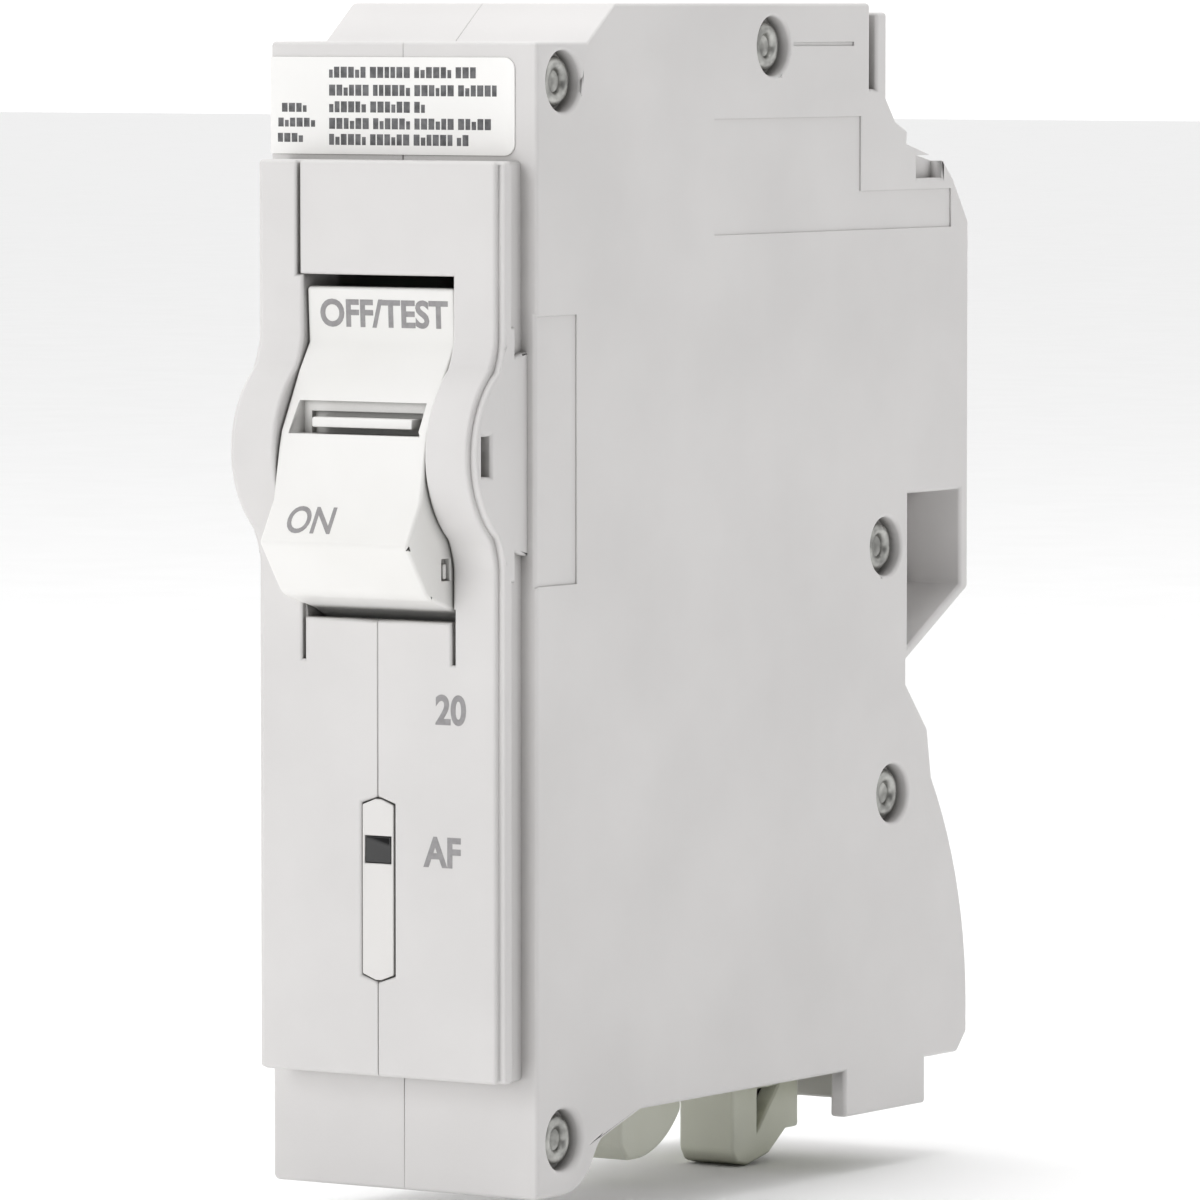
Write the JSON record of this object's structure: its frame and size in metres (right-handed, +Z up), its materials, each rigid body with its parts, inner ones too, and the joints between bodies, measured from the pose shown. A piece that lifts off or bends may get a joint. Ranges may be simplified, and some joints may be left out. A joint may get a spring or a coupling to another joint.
{
  "type": "plug-on arc-fault circuit breaker",
  "caption": "One-pole plug-on circuit breaker with rocking handle, arc-fault trip unit, split moulded case and rail hook.",
  "frame": {"origin": "middle of the line jaw's mouth, on the plane where the two half shells meet", "axes": "+X to the right of a person facing the handle, +Y into the panel, +Z up towards the OFF end"},
  "size_m": [0.025, 0.0749, 0.0957],
  "materials": {
    "case_plastic": "fine spark-eroded satin moulding",
    "handle_plastic": "smooth satin moulding",
    "insert_plastic": "smooth satin moulding",
    "lens_plastic": "polished dark lens",
    "hook_plastic": "satin moulding",
    "insulator": "pressed vulcanised fibre",
    "label_paper": "matt printed film",
    "rivet_steel": "zinc-plated, clinched",
    "pin_steel": "ground",
    "spring_steel": "drawn wire",
    "plate_steel": "stamped, nickel-plated",
    "copper": "stamped copper strip",
    "tinned_copper": "tin-plated copper strip",
    "silver_contact": "silver-alloy rivet",
    "bimetal_strip": "rolled strip",
    "magnet_wire": "enamelled wire",
    "ferrite": "sintered",
    "board_laminate": "solder-masked glass laminate",
    "chip_epoxy": "moulded epoxy",
    "bobbin_plastic": "moulded nylon",
    "varistor_epoxy": "dipped epoxy",
    "led_epoxy": "cast epoxy",
    "wire_pvc": "extruded PVC"
  },
  "bodies": {
    "housing": {"left_case": "case_plastic", "right_case": "case_plastic", "case_rivets": "rivet_steel", "rating_label": "label_paper", "indicator_insert": "insert_plastic", "indicator_lens": "lens_plastic", "handle_pin": "pin_steel", "arm_pin": "pin_steel", "arm_spring": "spring_steel", "spring_anchor": "pin_steel", "cradle_pin": "pin_steel", "bay_partition": "insulator", "line_strap": "copper", "fixed_contact": "silver_contact", "line_jaw": "tinned_copper", "line_jaw_spring": "spring_steel", "arc_plates": "plate_steel", "arc_chute_boards": "insulator", "bimetal": "bimetal_strip", "magnet_yoke": "plate_steel", "armature_pin": "pin_steel", "calibration_bracket": "plate_steel", "calibration_screw": "pin_steel", "armature_spring": "spring_steel", "flexible_braid": "copper", "load_strap": "copper", "rail_hook": "hook_plastic", "load_jaw": "tinned_copper", "neutral_clip": "hook_plastic", "neutral_lead": "wire_pvc", "solenoid_frame": "plate_steel", "solenoid_bobbin": "bobbin_plastic", "solenoid_coil": "magnet_wire", "plunger_spring": "spring_steel", "transformer_core": "ferrite", "transformer_winding": "magnet_wire", "circuit_board": "board_laminate", "controller_chip": "chip_epoxy", "trip_thyristor": "chip_epoxy", "rectifier_diodes": "chip_epoxy", "chip_resistors": "chip_epoxy", "filter_capacitor": "bobbin_plastic", "surge_varistor": "varistor_epoxy", "test_contact": "tinned_copper", "indicator_led": "led_epoxy"},
    "handle": {"handle": "handle_plastic"},
    "contact_arm": {"contact_arm": "copper", "moving_contact": "silver_contact"},
    "cradle": {"cradle": "plate_steel"},
    "armature": {"armature": "plate_steel"},
    "plunger": {"plunger": "pin_steel"}
  },
  "joints": [
    {"name": "handle_rock", "type": "hinge", "parent": "housing", "child": "handle", "pos_m": [0, -0.0556, 0.01135], "axis": [-1, 0, 0], "range_deg": [0, 52]},
    {"name": "arm_swing", "type": "hinge", "parent": "housing", "child": "contact_arm", "pos_m": [0, -0.04, 0.0162], "axis": [1, 0, 0], "range_deg": [0, 20], "deforming": ["arm_spring", "flexible_braid"]},
    {"name": "cradle_trip", "type": "hinge", "parent": "housing", "child": "cradle", "pos_m": [0, -0.0345, 0.0262], "axis": [-1, 0, 0], "range_deg": [0, 12]},
    {"name": "armature_tilt", "type": "hinge", "parent": "housing", "child": "armature", "pos_m": [0, -0.02755, -0.0074], "axis": [1, 0, 0], "range_deg": [0, 2.6], "stiffness_Nm_per_rad": 0.01, "springref_deg": -5.73, "deforming": ["armature_spring"]},
    {"name": "plunger_slide", "type": "slide", "parent": "housing", "child": "plunger", "axis": [0, 1, 0], "range_m": [0, 0.0008], "deforming": ["plunger_spring"]}
  ],
  "couplings": [
    {"joint": "arm_swing", "follows": "handle_rock", "ratio": 0.3846},
    {"joint": "plunger_slide", "follows": "armature_tilt", "m_per_rad": 0.015}
  ]
}
